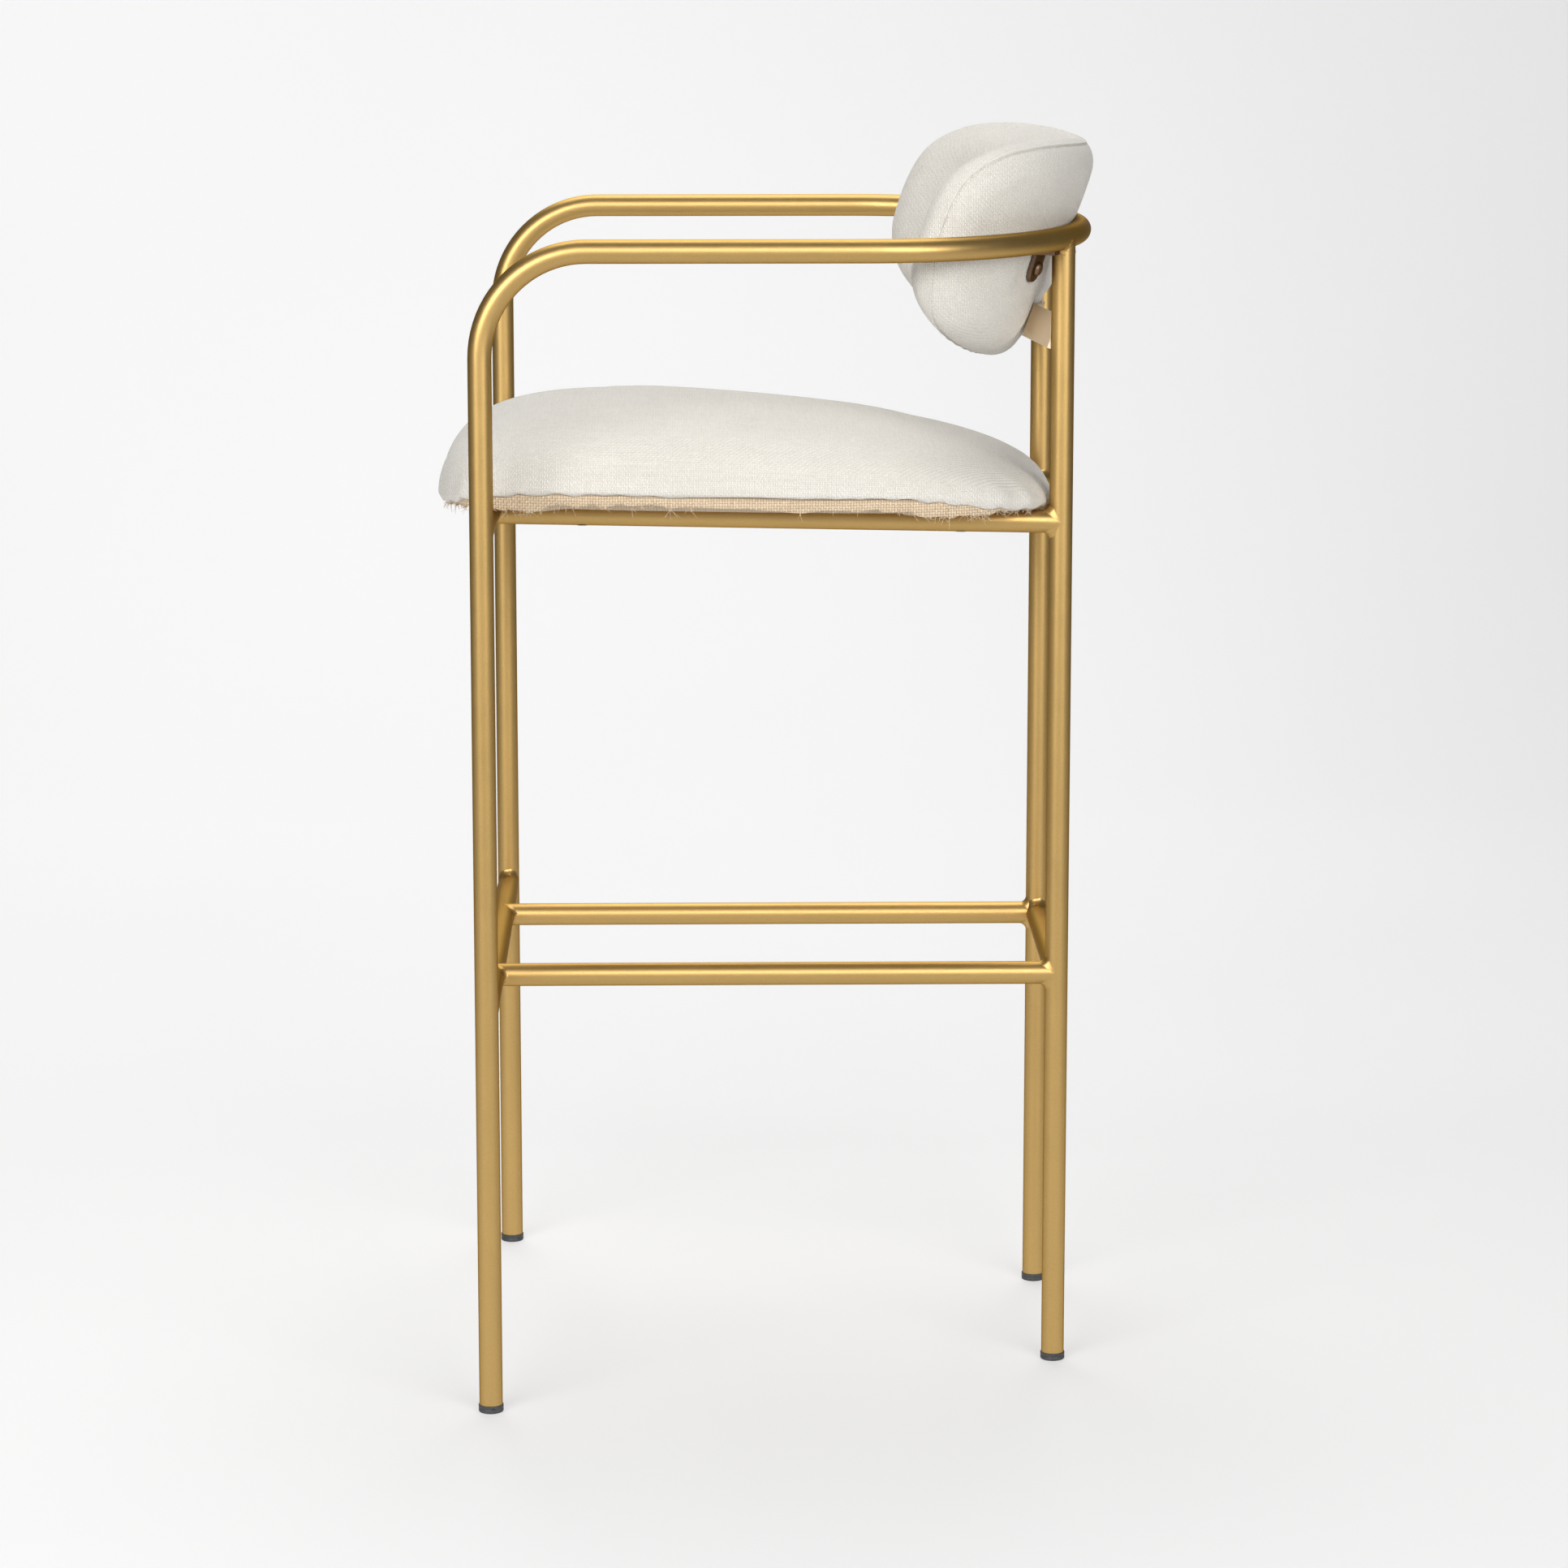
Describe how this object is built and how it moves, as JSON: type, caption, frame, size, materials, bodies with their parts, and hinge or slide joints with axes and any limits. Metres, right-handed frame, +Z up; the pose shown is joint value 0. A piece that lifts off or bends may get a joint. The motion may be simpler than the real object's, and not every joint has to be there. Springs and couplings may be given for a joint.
{
  "type": "bar stool with arms and footrest",
  "caption": "Bar-height stool with a satin brass tube frame, looping arms, a curved leaning back pad, a crowned fabric seat and a footrest of straight rails.",
  "frame": {"origin": "on the floor, under the middle of the stool's bounding box", "axes": "+Z up, +X to the sitter's left, +Y to the rear; the sitter faces -Y"},
  "size_m": [0.5304, 0.545, 1.0236],
  "materials": {
    "frame_paint": "satin",
    "bronze_plate": "satin",
    "zinc_steel": "satin",
    "foot_rubber": "matte",
    "plywood": "matte",
    "foam": "matte",
    "cream_fabric": "matte",
    "burlap": "matte"
  },
  "bodies": {
    "root": {"arm_leg_tube_left": "frame_paint", "arm_leg_tube_right": "frame_paint", "back_hoop_tube": "frame_paint", "rear_leg_tube_left": "frame_paint", "rear_leg_tube_right": "frame_paint", "seat_rail_front": "frame_paint", "seat_rail_left": "frame_paint", "seat_rail_right": "frame_paint", "seat_rail_rear": "frame_paint", "foot_rail_front": "frame_paint", "foot_rail_left": "frame_paint", "foot_rail_right": "frame_paint", "foot_rail_rear": "frame_paint", "foot_cap_front_left": "foot_rubber", "foot_cap_front_right": "foot_rubber", "foot_cap_rear_left": "foot_rubber", "foot_cap_rear_right": "foot_rubber", "seat_dust_cover": "burlap", "seat_board": "plywood", "seat_foam": "foam", "seat_cover": "cream_fabric", "seat_screw_front_left": "zinc_steel", "seat_tee_nut_front_left": "zinc_steel", "seat_screw_front_right": "zinc_steel", "seat_tee_nut_front_right": "zinc_steel", "seat_screw_rear_left": "zinc_steel", "seat_tee_nut_rear_left": "zinc_steel", "seat_screw_rear_right": "zinc_steel", "seat_tee_nut_rear_right": "zinc_steel", "back_pad_front_cover": "cream_fabric", "back_pad_front_foam": "foam", "back_pad_board": "plywood", "back_pad_rear_foam": "foam", "back_pad_rear_cover": "cream_fabric", "back_tab_left": "bronze_plate", "back_tab_right": "bronze_plate", "back_lower_bracket": "frame_paint", "tab_screw_left": "bronze_plate", "bracket_screw_left": "zinc_steel", "tab_screw_right": "bronze_plate", "bracket_screw_right": "zinc_steel"}
  },
  "joints": []
}
